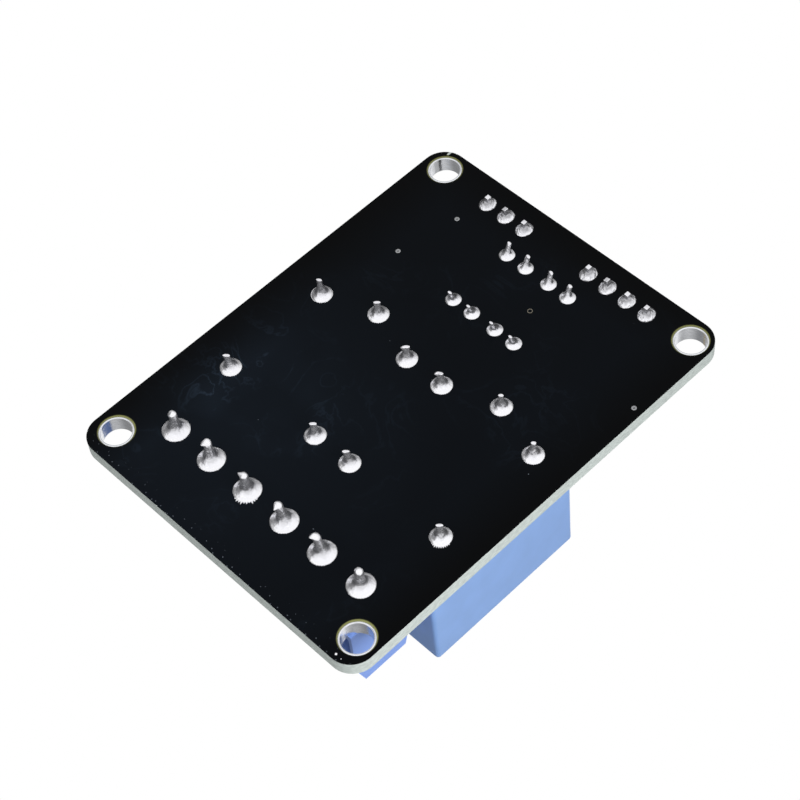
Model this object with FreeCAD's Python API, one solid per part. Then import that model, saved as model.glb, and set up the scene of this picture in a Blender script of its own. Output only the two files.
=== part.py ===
import FreeCAD, Part
import math
import os

# Relay module board: two sealed relays behind two optocouplers, with screw terminals for the
# switched circuits and pin headers for the control side.
# Millimetres. The component side faces +Z. The origin is the centre of the four mounting holes,
# on the solder-side face. +Y runs from the screw terminals to the pin headers.

# Bare board, of glass-epoxy laminate
board_width = 38.1
board_length = 50.0
board_thickness = 1.6
board_corner_radius = 2.5
board_centre_x = 0.2
board_centre_y = -0.2

# Plated mounting holes
mount_inset_x = 2.45
mount_inset_y = 2.7
mount_bore_radius = 1.55
mount_land_radius = 1.75
plating_wall = 0.05
land_thickness = 0.05

# Rows of parts across the board
power_row_x = -0.18
relay_side_gap = 1.32
relay_front_y = -13.16
terminal_pin_y = -18.24
header_y = 21.9
header_3_x = 7.54
header_4_x = -7.5
coupler_1_x = 2.71
coupler_2_x = -2.93
coupler_y = 14.54

# Solder joints: radius on the board, height below it and radius where they meet the lead
terminal_solder_radius = 1.37
terminal_solder_height = 1.15
terminal_solder_neck = 0.66
relay_solder_radius = 1.1
relay_solder_height = 0.95
relay_solder_neck = 0.68
header_solder_radius = 0.9
header_solder_height = 0.8
header_solder_neck = 0.52
coupler_solder_radius = 0.83
coupler_solder_height = 0.85
coupler_solder_neck = 0.42
solder_sides = 12

# Relay case
relay_width = 15.4
relay_length = 18.85
relay_height = 14.55
relay_wall = 0.55
relay_roof = 0.9
relay_corner_radius = 0.4
relay_rim_radius = 0.35
relay_base_thickness = 1.4
relay_base_gap = 0.04
vent_recess_radius = 1.3
vent_recess_depth = 0.2
vent_inset = 2.6

# Relay leads: a pair for the switched contacts, a pair for the coil and one common
relay_lead_side_inset = 1.7
contact_lead_inset = 3.46
common_lead_inset = 1.19
coil_to_common_lead = 2.0
relay_lead_below = 1.9
blade_thickness = 0.5
blade_width = 1.0
coil_lead_width = 0.6

# Relay motor: yoke, core, bobbin and winding
yoke_thickness = 0.9
yoke_side_gap = 3.15
yoke_behind_lead = 0.3
core_radius = 1.85
core_head_radius = 3.0
core_head_thickness = 0.8
bobbin_gap = 0.1
bobbin_flange = 0.9
bobbin_side_gap = 1.45
bobbin_flange_y = 8.8
bobbin_tube_radius = 2.5
bobbin_bore_gap = 0.05
bobbin_ear = 1.4
bobbin_ear_margin = 0.6
winding_radius = 4.2

# Relay armature, contact spring and contacts
armature_thickness = 1.0
armature_side_step = 0.1
armature_reach = 3.6
armature_gap = 0.05
armature_open_angle = 3.0
spring_thickness = 0.15
spring_side_step = 1.2
spring_tip_width = 3.0
spring_heel_gap = 0.06
spring_heel_drop = 1.2
contact_radius = 0.95
contact_height = 0.35
contact_gap = 0.06
arm_width = 2.0
arm_past_centre = 1.1
case_headroom = 0.58

# Screw terminals: three poles to a block, two blocks side by side
pole_pitch = 5.08
poles = 3
housing_side_gap = 0.03
housing_height = 8.7
housing_front = 3.9
housing_back = 3.7
housing_top_front = 2.95
housing_top_back = 2.05
housing_front_shoulder = 6.0
housing_back_shoulder = 3.4
housing_edge_radius = 0.25
housing_floor = 0.7
chamber_wall = 0.92
chamber_depth = 4.6
chamber_roof_gap = 0.3
entry_side_step = 0.33
entry_bottom = 1.1
entry_roof_step = 0.6
entry_flare = 0.35
driver_hole_radius = 1.98
key_root = 1.0
key_depth = 0.45
key_flare = 0.6
key_gap = 0.08

# Clamp of each pole: cage with its pin, wire guard and screw
cage_side_gap = 0.13
cage_end_gap = 0.2
cage_wall = 0.5
cage_floor = 0.5
cage_roof = 1.3
terminal_pin_width = 0.8
terminal_pin_thickness = 0.6
terminal_pin_below = 2.7
guard_thickness = 0.5
guard_side_gap = 0.1
guard_roof_gap = 0.05
guard_lip = 0.5
screw_travel = 2.0
screw_thread_radius = 1.35
screw_thread_gap = 0.1
screw_head_gap = 0.18
screw_head_height = 1.2
screw_head_clearance = 0.1
screw_recess = 0.1
screw_tip_gap = 0.05
screw_slot_width = 0.5
screw_slot_depth = 0.6

# Pin headers and the jumper cap
header_pitch = 2.54
header_body_height = 2.5
header_body_chamfer = 0.45
header_pin_side = 0.64
header_pin_above = 6.0
header_pin_below = 1.5
header_pin_taper = 0.15
jumper_height = 5.6
jumper_depth = 2.4
jumper_wall = 0.4
jumper_side_gap = 0.06
jumper_seat_gap = 0.05
jumper_round = 0.3
clip_thickness = 0.25
clip_pin_gap = 0.02
clip_leaf_height = 3.6
clip_leaf_width = 1.4

# Optocouplers, four leads in two rows
coupler_width = 4.6
coupler_depth = 6.5
coupler_height = 3.4
coupler_stand = 0.4
coupler_draft = 0.3
coupler_row = 7.62
coupler_lead_pitch = 2.54
coupler_lead_thickness = 0.25
coupler_lead_width = 0.5
coupler_shoulder_width = 1.2
coupler_shoulder_length = 1.9
coupler_lead_below = 1.9
coupler_lead_splay = 0.45
coupler_dot_radius = 0.5
coupler_dot_depth = 0.12

# Surface-mounted parts: places and sizes
led_edge_inset = 5.65
led_y = 15.4
led_length = 2.0
led_width = 1.25
led_base_height = 0.35
lens_length = 1.2
lens_width = 1.05
lens_height = 0.45
small_column_1_x = 8.2
small_column_2_x = -8.6
relay_to_transistor = 2.56
transistor_length = 2.9
transistor_width = 1.3
transistor_height = 1.0
transistor_lead_width = 0.4
transistor_lead_pitch = 1.9
transistor_lead_reach = 0.55
transistor_lead_thickness = 0.15
transistor_stand = 0.08
diode_edge_inset = 4.85
relay_to_diode = 2.6
diode_length = 4.3
diode_width = 2.6
diode_height = 2.1
diode_lead_reach = 0.35
diode_lead_width = 1.4
diode_lead_thickness = 0.2
diode_draft = 0.2
resistor_spacing = 3.0
resistor_length = 2.0
resistor_width = 1.25
resistor_height = 0.5

# How far a cutting tool runs past the face it opens
cut_margin = 1.0

# Levels and places that follow from the sizes above
top = board_thickness
block_foot = top + land_thickness
relay_roof_level = top + relay_height
relay_pitch = relay_width + relay_side_gap
relay_inner_width = relay_width - 2 * relay_wall
relay_inner_length = relay_length - 2 * relay_wall
relay_lead_x = relay_width / 2 - relay_lead_side_inset
relay_back_y = relay_front_y + relay_length
contact_lead_y = relay_front_y + contact_lead_inset
common_lead_y = relay_back_y - common_lead_inset
coil_lead_y = common_lead_y - coil_to_common_lead
yoke_width = relay_inner_width - 2 * yoke_side_gap
yoke_back_y = common_lead_y + yoke_behind_lead
contact_stroke = (yoke_back_y - contact_lead_y) * math.sin(math.radians(armature_open_angle))
contact_tilt = contact_radius * math.sin(math.radians(armature_open_angle))
closed_leaf_level = (relay_roof_level - relay_roof - case_headroom - blade_thickness - contact_gap
                     - contact_tilt - contact_stroke - 2 * contact_height)
pole_face_level = closed_leaf_level - armature_thickness - armature_gap
chamber_width = pole_pitch - chamber_wall
entry_width = chamber_width - 2 * entry_side_step
cage_width = chamber_width - 2 * cage_side_gap
cage_depth = chamber_depth - 2 * cage_end_gap
cage_height = (housing_height - housing_floor - screw_travel - screw_head_clearance
               - screw_head_height - screw_recess)
chamber_height = cage_height + chamber_roof_gap
entry_top = housing_floor + chamber_height - entry_roof_step
screw_head_radius = driver_hole_radius - screw_head_gap
relay_places = [("relay_1", power_row_x + relay_pitch / 2), ("relay_2", power_row_x - relay_pitch / 2)]
block_pitch = pole_pitch * poles
terminal_places = [("terminal_1", power_row_x + block_pitch / 2),
                   ("terminal_2", power_row_x - block_pitch / 2)]
pole_offsets = [(number - (poles - 1) / 2) * pole_pitch for number in range(poles)]
small_column_xs = (small_column_1_x, small_column_2_x)
led_from_middle = board_width / 2 - led_edge_inset
diode_from_middle = board_width / 2 - diode_edge_inset
mount_pitch_x = board_width - 2 * mount_inset_x
mount_pitch_y = board_length - 2 * mount_inset_y
mount_places = [(sx * mount_pitch_x / 2, sy * mount_pitch_y / 2) for sx in (-1, 1) for sy in (-1, 1)]


def point(x, y, z):
    """A place in space."""
    return FreeCAD.Vector(x, y, z)


def block(x0, x1, y0, y1, z0, z1):
    """A rectangular solid between two corners."""
    return Part.makeBox(x1 - x0, y1 - y0, z1 - z0, point(x0, y0, z0))


def slab(x, y, size_x, size_y, z0, z1):
    """A rectangular solid centred on x and y."""
    return block(x - size_x / 2, x + size_x / 2, y - size_y / 2, y + size_y / 2, z0, z1)


def rod(x, y, radius, z0, z1):
    """An upright cylinder."""
    return Part.makeCylinder(radius, z1 - z0, point(x, y, z0))


def turned(profile, x, y):
    """A solid of revolution about an upright axis, from (radius, z) points."""
    face = flat_face([point(radius, 0, z) for radius, z in profile])
    solid = face.revolve(point(0, 0, 0), point(0, 0, 1), 360)
    solid.translate(point(x, y, 0))
    return solid


def side_profile(outline, x0, x1):
    """A (y, z) outline drawn in the side view and extruded along X."""
    return flat_face([point(x0, y, z) for y, z in outline]).extrude(point(x1 - x0, 0, 0))


def flat_face(corners):
    """A flat face inside a ring of corners."""
    return Part.Face(Part.makePolygon(corners + corners[:1]))


def flat_sided(rings):
    """A solid with flat sides through rings of corners, each seen anticlockwise from above."""
    faces = [flat_face(rings[0]), flat_face(rings[-1])]
    for lower, upper in zip(rings, rings[1:]):
        for here in range(len(lower)):
            there = (here + 1) % len(lower)
            faces.append(flat_face([lower[here], lower[there], upper[there], upper[here]]))
    shell = Part.Shell(faces)
    shell.sewShape()
    solid = Part.Solid(shell)
    if solid.Volume < 0:
        solid.reverse()
    return solid


def drafted(x, y, sections):
    """A moulded body through centred rectangles, each given as (size_x, size_y, z)."""
    return flat_sided([[point(x + sx * size_x / 2, y + sy * size_y / 2, z)
                        for sx, sy in ((-1, -1), (1, -1), (1, 1), (-1, 1))]
                       for size_x, size_y, z in sections])


def edges_along(solid, axis):
    """The straight edges of a solid that run along X, Y or Z."""
    chosen = []
    for edge in solid.Edges:
        start = edge.Vertexes[0].Point
        run = edge.Vertexes[-1].Point.sub(start)
        if run.Length > 0 and abs(abs(run.dot(axis)) - run.Length) < 1e-6:
            chosen.append(edge)
    return chosen


def edges_at_height(solid, z):
    """The edges that lie wholly at one level."""
    return [edge for edge in solid.Edges
            if all(abs(vertex.Point.z - z) < 1e-6 for vertex in edge.Vertexes)]


def cut_all(solid, tools):
    """Take each tool away from the solid."""
    for tool in tools:
        solid = solid.cut(tool)
    return solid


def fuse_all(solids):
    """Join solids that are one piece in the real part."""
    whole = solids[0]
    for solid in solids[1:]:
        whole = whole.fuse(solid)
    return whole.removeSplitter()


def plated_hole(x, y, bore, land):
    """A plated barrel with its two lands, one turned solid."""
    wall = bore + plating_wall
    profile = [(bore, -land_thickness), (land, -land_thickness), (land, 0), (wall, 0), (wall, top),
               (land, top), (land, top + land_thickness), (bore, top + land_thickness)]
    return turned(profile, x, y)


def solder_joint(x, y, sizes, lead):
    """A concave fillet of solder from the board down the lead, in flat sides to stay light."""
    base, height, neck = sizes
    waist = neck + (base - neck) / 3
    turns = [2 * math.pi * side / solder_sides for side in range(solder_sides)]
    rings = [[point(x + radius * math.cos(turn), y + radius * math.sin(turn), z) for turn in turns]
             for radius, z in ((neck, -height), (waist, -height / 2), (base, 0))]
    return flat_sided(rings).cut(lead)


# What is soldered into the board, filled in by the parts that own the leads
joint_sizes = {
    "terminal_solder": (terminal_solder_radius, terminal_solder_height, terminal_solder_neck),
    "relay_solder": (relay_solder_radius, relay_solder_height, relay_solder_neck),
    "header_solder": (header_solder_radius, header_solder_height, header_solder_neck),
    "coupler_solder": (coupler_solder_radius, coupler_solder_height, coupler_solder_neck),
}
joints = {"terminal_solder": [], "relay_solder": [], "header_solder": [], "coupler_solder": []}
leads_through_board = []


def solder_lead(group, x, y, lead):
    """Pass a lead through the board and solder it."""
    leads_through_board.append(lead)
    joints[group].append(solder_joint(x, y, joint_sizes[group], lead))


def relay_case(x):
    """The cover, a thin shell that is open below, with its vent dimple, and the base that closes it."""
    y = (relay_front_y + relay_back_y) / 2
    roof = relay_roof_level
    cover = slab(x, y, relay_width, relay_length, top, roof)
    cover = cover.makeFillet(relay_corner_radius, edges_along(cover, point(0, 0, 1)))
    cover = cover.makeFillet(relay_rim_radius, edges_at_height(cover, roof))
    cover = cover.cut(slab(x, y, relay_inner_width, relay_inner_length, top, roof - relay_roof))
    vent_x = x + relay_width / 2 - vent_inset
    vent_y = relay_back_y - vent_inset
    cover = cover.cut(rod(vent_x, vent_y, vent_recess_radius, roof - vent_recess_depth, roof))
    base = slab(x, y, relay_inner_width - 2 * relay_base_gap, relay_inner_length - 2 * relay_base_gap,
                top, top + relay_base_thickness)
    return cover, base


def relay_motor(x):
    """Yoke with the common lead, core, bobbin, winding and the two coil leads."""
    base_top = top + relay_base_thickness
    yoke_front = yoke_back_y - yoke_thickness
    coil_y = yoke_front - bobbin_gap - bobbin_flange_y / 2
    yoke_top = base_top + yoke_thickness
    upright = block(x - yoke_width / 2, x + yoke_width / 2, yoke_front, yoke_back_y,
                    base_top, pole_face_level)
    foot = block(x - yoke_width / 2, x + yoke_width / 2, coil_y - core_head_radius, yoke_back_y,
                 base_top, yoke_top)
    lead = slab(x, common_lead_y, blade_width, blade_thickness, -relay_lead_below, base_top)
    yoke = fuse_all([upright, foot, lead])
    flange_top = pole_face_level - core_head_thickness
    core = turned([(0, yoke_top), (core_radius, yoke_top), (core_radius, flange_top),
                   (core_head_radius, flange_top), (core_head_radius, pole_face_level),
                   (0, pole_face_level)], x, coil_y)
    bore = core_radius + bobbin_bore_gap
    flange_x = relay_inner_width - 2 * bobbin_side_gap
    lower = slab(x, coil_y, flange_x, bobbin_flange_y, yoke_top, yoke_top + bobbin_flange)
    ear_x = 2 * (relay_lead_x + bobbin_ear_margin)
    ear = slab(x, coil_lead_y, ear_x, bobbin_ear, yoke_top, yoke_top + bobbin_flange)
    upper = slab(x, coil_y, flange_x, bobbin_flange_y, flange_top - bobbin_flange, flange_top)
    tube = rod(x, coil_y, bobbin_tube_radius, yoke_top, flange_top)
    coil_leads = [slab(x + side * relay_lead_x, coil_lead_y, coil_lead_width, coil_lead_width,
                       -relay_lead_below, yoke_top + bobbin_flange) for side in (-1, 1)]
    bobbin = fuse_all([lower, ear, upper, tube])
    bobbin = cut_all(bobbin, [rod(x, coil_y, bore, yoke_top, flange_top)] + coil_leads)
    winding = rod(x, coil_y, winding_radius, yoke_top + bobbin_flange, flange_top - bobbin_flange)
    winding = winding.cut(rod(x, coil_y, bobbin_tube_radius, yoke_top, flange_top))
    return yoke, core, bobbin, winding, coil_leads, coil_y


def relay_armature(x, coil_y):
    """Armature and contact spring, drawn closed on the pole face and then swung open."""
    lower = pole_face_level + armature_gap
    upper = closed_leaf_level
    spring_top = upper + spring_thickness
    armature_half = yoke_width / 2 - armature_side_step
    armature = block(x - armature_half, x + armature_half, coil_y - armature_reach,
                     yoke_back_y, lower, upper)
    spring_width = yoke_width - 2 * spring_side_step
    heel_inner = yoke_back_y + spring_heel_gap
    heel_outer = heel_inner + spring_thickness
    leaf = block(x - spring_width / 2, x + spring_width / 2, coil_y - armature_reach, heel_outer,
                 upper, spring_top)
    heel = block(x - spring_width / 2, x + spring_width / 2, heel_inner, heel_outer,
                 upper - spring_heel_drop, spring_top)
    tip = block(x - spring_tip_width / 2, x + spring_tip_width / 2,
                contact_lead_y - contact_radius - spring_thickness, coil_y - armature_reach,
                upper, spring_top)
    contact = rod(x, contact_lead_y, contact_radius, upper - contact_height + spring_thickness / 2,
                  upper + contact_height)
    spring = fuse_all([leaf, heel, tip, contact])
    for piece in (armature, spring):
        piece.rotate(point(x, yoke_back_y, lower), point(1, 0, 0), -armature_open_angle)
    return armature, spring


def relay_contacts(x):
    """The two fixed contact blades: the normally open one below, the normally closed one above."""
    base_top = top + relay_base_thickness
    open_face = closed_leaf_level - contact_height + spring_thickness / 2 - contact_gap
    closed_face = closed_leaf_level + contact_height + contact_stroke + contact_tilt + contact_gap
    blades = []
    for side, face, away in ((-1, open_face, -1), (1, closed_face, 1)):
        arm_near = face + away * contact_height
        arm_far = arm_near + away * blade_thickness
        low, high = sorted((arm_near, arm_far))
        lead_x = x + side * relay_lead_x
        across = sorted((lead_x + side * blade_thickness / 2, x - side * arm_past_centre))
        arm = block(across[0], across[1], contact_lead_y - arm_width / 2,
                    contact_lead_y + arm_width / 2, low, high)
        riser = slab(lead_x, contact_lead_y, blade_thickness, arm_width, base_top, high)
        lead = slab(lead_x, contact_lead_y, blade_thickness, blade_width, -relay_lead_below, base_top)
        button = rod(x, contact_lead_y, contact_radius, min(face, arm_near), max(face, arm_near))
        blades.append(fuse_all([arm, riser, lead, button]))
    return blades


def relay(name, x):
    """One sealed relay, as its separate pieces."""
    cover, base = relay_case(x)
    yoke, core, bobbin, winding, coil_leads, coil_y = relay_motor(x)
    armature, spring = relay_armature(x, coil_y)
    blades = relay_contacts(x)
    leads = [(x, common_lead_y, yoke)]
    for side, blade, coil_lead in zip((-1, 1), blades, coil_leads):
        leads.append((x + side * relay_lead_x, contact_lead_y, blade))
        leads.append((x + side * relay_lead_x, coil_lead_y, coil_lead))
    for lead_x, lead_y, lead in leads:
        solder_lead("relay_solder", lead_x, lead_y, lead)
    base = cut_all(base, [lead for lead_x, lead_y, lead in leads])
    return {name + "_cover": cover, name + "_base": base, name + "_yoke": yoke,
            name + "_core": core, name + "_bobbin": bobbin, name + "_winding": winding,
            name + "_coil_leads": coil_leads, name + "_armature": armature,
            name + "_contact_spring": spring, name + "_fixed_contacts": blades}


def terminal_housing(x):
    """Moulded block of poles: sloped front and back, wire entries, driver holes and side keys."""
    front = terminal_pin_y - housing_front
    back = terminal_pin_y + housing_back
    crown = block_foot + housing_height
    outline = [(front, block_foot), (back, block_foot), (back, block_foot + housing_back_shoulder),
               (terminal_pin_y + housing_top_back, crown), (terminal_pin_y - housing_top_front, crown),
               (front, block_foot + housing_front_shoulder)]
    half = block_pitch / 2 - housing_side_gap
    housing = side_profile(outline, x - half, x + half)
    housing = housing.makeFillet(housing_edge_radius, edges_at_height(housing, crown))
    floor = block_foot + housing_floor
    chamber_top = floor + chamber_height
    chamber_front = terminal_pin_y - chamber_depth / 2
    tools = []
    for offset in pole_offsets:
        pole_x = x + offset
        tools.append(slab(pole_x, terminal_pin_y, chamber_width, chamber_depth, floor, chamber_top))
        tools.append(block(pole_x - entry_width / 2, pole_x + entry_width / 2, front - cut_margin,
                           chamber_front, block_foot + entry_bottom, block_foot + entry_top))
        tools.append(entry_mouth(pole_x, front))
        tools.append(rod(pole_x, terminal_pin_y, driver_hole_radius, chamber_top, crown + cut_margin))
        tools.append(terminal_pin(pole_x, floor))
    housing = cut_all(housing, tools)
    key = side_key(x + half, key_depth - key_gap, 0)
    slot = side_key(x - half, key_depth, key_gap)
    return housing.fuse(key).removeSplitter().cut(slot)


def terminal_pin(x, upper):
    """A pole's soldered pin, a flat tail up to the level given."""
    return slab(x, terminal_pin_y, terminal_pin_width, terminal_pin_thickness, -terminal_pin_below, upper)


def entry_mouth(x, front):
    """The bevel round a wire entry's mouth."""
    middle = block_foot + (entry_bottom + entry_top) / 2
    rings = []
    for y, grow in ((front, entry_flare), (front + entry_flare, 0)):
        half_width = entry_width / 2 + grow
        half_height = (entry_top - entry_bottom) / 2 + grow
        rings.append([point(x + side * half_width, y, middle + level * half_height)
                      for side, level in ((-1, -1), (1, -1), (1, 1), (-1, 1))])
    return flat_sided(rings)


def side_key(x, depth, grow):
    """The upright dovetail that locks one block to the next, drawn from a side face along +X."""
    middle = terminal_pin_y + housing_back / 2
    root = key_root / 2 + grow
    tip = root + depth * key_flare
    corners = [point(x, middle - root, block_foot), point(x + depth, middle - tip, block_foot),
               point(x + depth, middle + tip, block_foot), point(x, middle + root, block_foot)]
    return flat_face(corners).extrude(point(0, 0, housing_back_shoulder))


def terminal_clamp(x):
    """One pole's cage with its pin, wire guard and screw, with the clamp open."""
    floor = block_foot + housing_floor
    roof = floor + cage_height
    inner_floor = floor + cage_floor
    inner_roof = roof - cage_roof
    inner_width = cage_width - 2 * cage_wall
    thread_hole = screw_thread_radius + screw_thread_gap
    cage = slab(x, terminal_pin_y, cage_width, cage_depth, floor, roof)
    cage = cage.cut(slab(x, terminal_pin_y, inner_width, cage_depth, inner_floor, inner_roof))
    cage = cage.cut(rod(x, terminal_pin_y, thread_hole, inner_roof, roof))
    cage = cage.fuse(terminal_pin(x, floor))
    guard_top = inner_roof - guard_roof_gap
    guard_low = guard_top - guard_thickness
    guard_width = inner_width - 2 * guard_side_gap
    half_depth = cage_depth / 2
    leaf = [(-half_depth, guard_top), (-half_depth - guard_lip, guard_top - guard_thickness / 2),
            (-half_depth - guard_lip, guard_low - guard_thickness / 2), (-half_depth, guard_low),
            (half_depth, guard_low), (half_depth, guard_top)]
    guard = side_profile([(terminal_pin_y + y, z) for y, z in leaf],
                         x - guard_width / 2, x + guard_width / 2)
    head_low = roof + screw_travel + screw_head_clearance
    head_top = head_low + screw_head_height
    screw = turned([(0, guard_top + screw_tip_gap), (screw_thread_radius, guard_top + screw_tip_gap),
                    (screw_thread_radius, head_low), (screw_head_radius, head_low),
                    (screw_head_radius, head_top), (0, head_top)], x, terminal_pin_y)
    screw = screw.cut(slab(x, terminal_pin_y, 2 * screw_head_radius, screw_slot_width,
                           head_top - screw_slot_depth, head_top))
    return cage, guard, screw


def terminal(name, x):
    """One block of screw terminals, as its separate pieces."""
    pieces = {name + "_housing": terminal_housing(x), name + "_cages": []}
    for number, offset in enumerate(pole_offsets, 1):
        cage, guard, screw = terminal_clamp(x + offset)
        pieces[name + "_cages"].append(cage)
        pieces["%s_guard_%d" % (name, number)] = guard
        pieces["%s_screw_%d" % (name, number)] = screw
        solder_lead("terminal_solder", x + offset, terminal_pin_y, cage)
    return pieces


def header(name, x, count):
    """A straight pin header: one notched moulding and its square pins."""
    bodies = []
    pins = []
    body_top = top + header_body_height
    for number in range(count):
        pin_x = x + (number - (count - 1) / 2) * header_pitch
        cell = slab(pin_x, header_y, header_pitch, header_pitch, top, body_top)
        bodies.append(cell.makeChamfer(header_body_chamfer, edges_along(cell, point(0, 0, 1))))
        slim = header_pin_side - 2 * header_pin_taper
        tip = body_top + header_pin_above
        side = header_pin_side
        sections = [(slim, slim, -header_pin_below), (side, side, header_pin_taper - header_pin_below),
                    (side, side, tip - 2 * header_pin_taper), (slim, slim, tip)]
        pin = drafted(pin_x, header_y, sections)
        pins.append(pin)
        solder_lead("header_solder", pin_x, header_y, pin)
    return {name + "_moulding": cut_all(fuse_all(bodies), pins), name + "_pins": pins}


def jumper():
    """The jumper cap on the first two pins of the three-pin header, with its folded clip."""
    x = header_3_x + header_pitch / 2
    seat = top + header_body_height + jumper_seat_gap
    crown = seat + jumper_height
    width = 2 * header_pitch - 2 * jumper_side_gap
    cap = slab(x, header_y, width, jumper_depth, seat, crown)
    cap = cap.makeFillet(jumper_round, edges_at_height(cap, crown))
    inner_x = width - 2 * jumper_wall
    inner_y = jumper_depth - 2 * jumper_wall
    cap = cap.cut(slab(x, header_y, inner_x, inner_y, seat, crown - jumper_wall))
    pin_tip = top + header_body_height + header_pin_above
    window = header_pin_side + 2 * clip_pin_gap
    for side in (-1, 1):
        window_x = x + side * header_pitch / 2
        cap = cap.cut(slab(window_x, header_y, window, window, crown - jumper_wall, pin_tip + cut_margin))
    leaf_y = header_pin_side / 2 + clip_pin_gap
    roof = crown - jumper_wall
    strips = []
    for side in (-1, 1):
        y0, y1 = sorted((header_y + side * leaf_y, header_y + side * (leaf_y + clip_thickness)))
        for end in (-1, 1):
            leaf_x = x + end * header_pitch / 2
            strips.append(block(leaf_x - clip_leaf_width / 2, leaf_x + clip_leaf_width / 2, y0, y1,
                                roof - clip_leaf_height, roof))
        strips.append(block(x - header_pitch / 2, x + header_pitch / 2, y0, y1,
                            roof - clip_leaf_width, roof))
    bridge = header_pitch - header_pin_side - 4 * clip_pin_gap
    strips.append(slab(x, header_y, bridge, 2 * (leaf_y + clip_thickness), roof - clip_thickness, roof))
    return {"jumper_cap": cap, "jumper_clip": fuse_all(strips)}


def optocoupler(name, x):
    """A four-lead optocoupler: drafted body and folded leads with splayed tails."""
    low = top + coupler_stand
    high = low + coupler_height
    middle = (low + high) / 2
    narrow_x = coupler_width - 2 * coupler_draft
    narrow_y = coupler_depth - 2 * coupler_draft
    body = drafted(x, coupler_y, [(narrow_x, narrow_y, low), (coupler_width, coupler_depth, middle),
                                  (narrow_x, narrow_y, high)])
    dot_x = x - coupler_lead_pitch / 2
    body = body.cut(rod(dot_x, coupler_y - coupler_lead_pitch, coupler_dot_radius,
                        high - coupler_dot_depth, high))
    leads = []
    for row in (-1, 1):
        for side in (-1, 1):
            lead_x = x + side * coupler_lead_pitch / 2
            lead = coupler_lead(lead_x, row, middle)
            leads.append(lead)
            solder_lead("coupler_solder", lead_x, coupler_y + row * coupler_row / 2, lead)
    return {name + "_body": cut_all(body, leads), name + "_leads": leads}


def coupler_lead(x, row, middle):
    """One lead, folded down at the shoulder; its tail leans outwards below the board."""
    half = coupler_lead_thickness / 2
    column = coupler_row / 2
    inside = coupler_depth / 2 - coupler_lead_thickness * 2
    fold = coupler_lead_thickness
    wide = [(inside, middle - half), (inside, middle + half), (column + half - fold, middle + half),
            (column + half, middle + half - fold), (column + half, middle - coupler_shoulder_length),
            (column - half, middle - coupler_shoulder_length), (column - half, middle - half)]
    lean = coupler_lead_splay
    narrow = [(column - half, middle - half), (column + half, middle - half), (column + half, 0),
              (column + half + lean, -coupler_lead_below), (column - half + lean, -coupler_lead_below),
              (column - half, 0)]
    pieces = []
    for outline, width in ((wide, coupler_shoulder_width), (narrow, coupler_lead_width)):
        placed = [(coupler_y + row * y, z) for y, z in outline]
        pieces.append(side_profile(placed, x - width / 2, x + width / 2))
    return fuse_all(pieces)


def indicator(x, y):
    """A chip indicator: substrate and lens."""
    lens_foot = top + led_base_height
    substrate = slab(x, y, led_length, led_width, top, lens_foot)
    lens = slab(x, y, lens_length, lens_width, lens_foot, lens_foot + lens_height)
    return fuse_all([substrate, lens])


def transistor(x, y):
    """A small moulded transistor on three gull-wing leads."""
    low = top + transistor_stand
    high = low + transistor_height
    middle = (low + high) / 2
    slim = transistor_lead_thickness
    narrow = (transistor_length - slim, transistor_width - slim)
    body = drafted(x, y, [(*narrow, low), (transistor_length, transistor_width, middle), (*narrow, high)])
    pieces = [body]
    side = transistor_width / 2
    outline = [(side - slim, middle), (side + slim, middle), (side + 2 * slim, top + slim),
               (side + transistor_lead_reach, top + slim), (side + transistor_lead_reach, top),
               (side + slim, top), (side, middle - slim), (side - slim, middle - slim)]
    for offset, row in ((-transistor_lead_pitch / 2, -1), (transistor_lead_pitch / 2, -1), (0, 1)):
        placed = [(y + row * along, z) for along, z in outline]
        pieces.append(side_profile(placed, x + offset - transistor_lead_width / 2,
                                   x + offset + transistor_lead_width / 2))
    return fuse_all(pieces)


def diode(x, y):
    """A moulded diode with a lead tucked under each end."""
    middle = top + diode_height / 2
    narrow = (diode_length - diode_draft, diode_width - diode_draft)
    body = drafted(x, y, [(*narrow, top + diode_lead_thickness), (diode_length, diode_width, middle),
                          (*narrow, top + diode_height)])
    pieces = [body]
    for side in (-1, 1):
        outer = x + side * (diode_length / 2 + diode_lead_reach)
        inner = x + side * (diode_length / 2 - diode_lead_reach * 2)
        face = x + side * (diode_length / 2 + diode_lead_reach - diode_lead_thickness)
        x0, x1 = sorted((outer, inner))
        pieces.append(block(x0, x1, y - diode_lead_width / 2, y + diode_lead_width / 2,
                            top, top + diode_lead_thickness))
        x0, x1 = sorted((outer, face))
        pieces.append(block(x0, x1, y - diode_lead_width / 2, y + diode_lead_width / 2, top, middle))
        x0, x1 = sorted((outer, x + side * (diode_length / 2 - diode_lead_thickness)))
        pieces.append(block(x0, x1, y - diode_lead_width / 2, y + diode_lead_width / 2,
                            middle, middle + diode_lead_thickness))
    return fuse_all(pieces)


def board():
    """The laminate, with a hole for every lead and the four mounting holes."""
    laminate = slab(board_centre_x, board_centre_y, board_width, board_length, 0, top)
    laminate = laminate.makeFillet(board_corner_radius, edges_along(laminate, point(0, 0, 1)))
    drills = [rod(x, y, mount_bore_radius + plating_wall, 0, top) for x, y in mount_places]
    return cut_all(laminate, drills + leads_through_board)


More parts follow.
